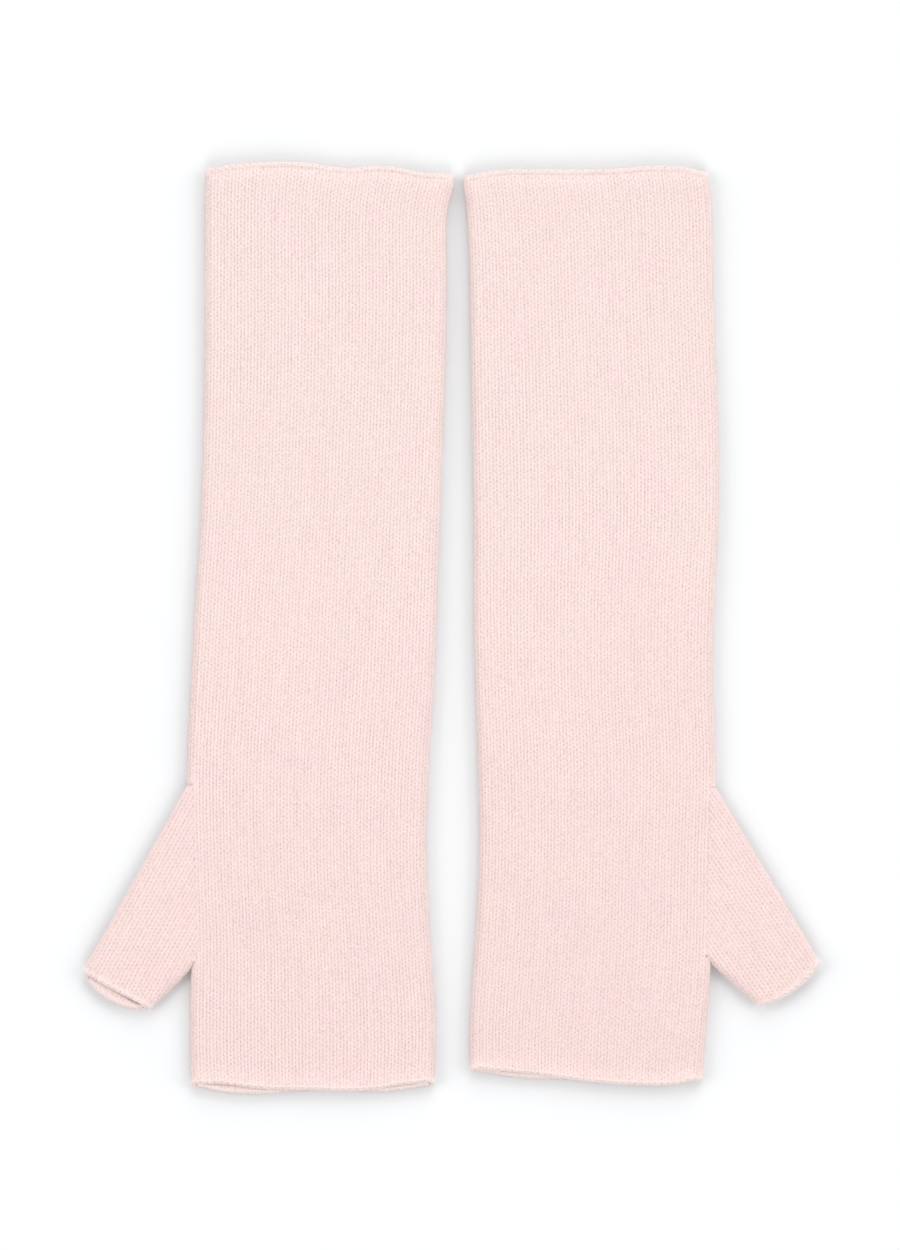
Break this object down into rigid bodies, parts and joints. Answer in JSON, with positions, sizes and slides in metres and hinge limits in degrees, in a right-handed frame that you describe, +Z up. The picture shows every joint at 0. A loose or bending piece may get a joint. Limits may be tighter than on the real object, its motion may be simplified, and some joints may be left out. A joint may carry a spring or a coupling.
{
  "type": "pair of wrist warmers",
  "caption": "Pair of long knitted tubes laid flat that cover the forearm and hand, each with a short slanting thumb tube and open ends.",
  "frame": {"origin": "middle of the pair's box, on the surface that it lies on", "axes": "+Y along the sleeves from the hand end to the forearm end, +X across the pair to the picture's right, +Z up out of the cloth"},
  "size_m": [0.2706, 0.3434, 0.0057],
  "materials": {
    "knit": "soft brushed plain knit, pale pink",
    "bound_edge": "smooth bound knitted edge, pale pink"
  },
  "bodies": {
    "root": {"left_sleeve": "knit", "left_thumb": "knit", "left_arm_edge": "bound_edge", "left_hand_edge": "bound_edge", "left_thumb_edge": "bound_edge", "right_sleeve": "knit", "right_thumb": "knit", "right_arm_edge": "bound_edge", "right_hand_edge": "bound_edge", "right_thumb_edge": "bound_edge"}
  },
  "joints": []
}
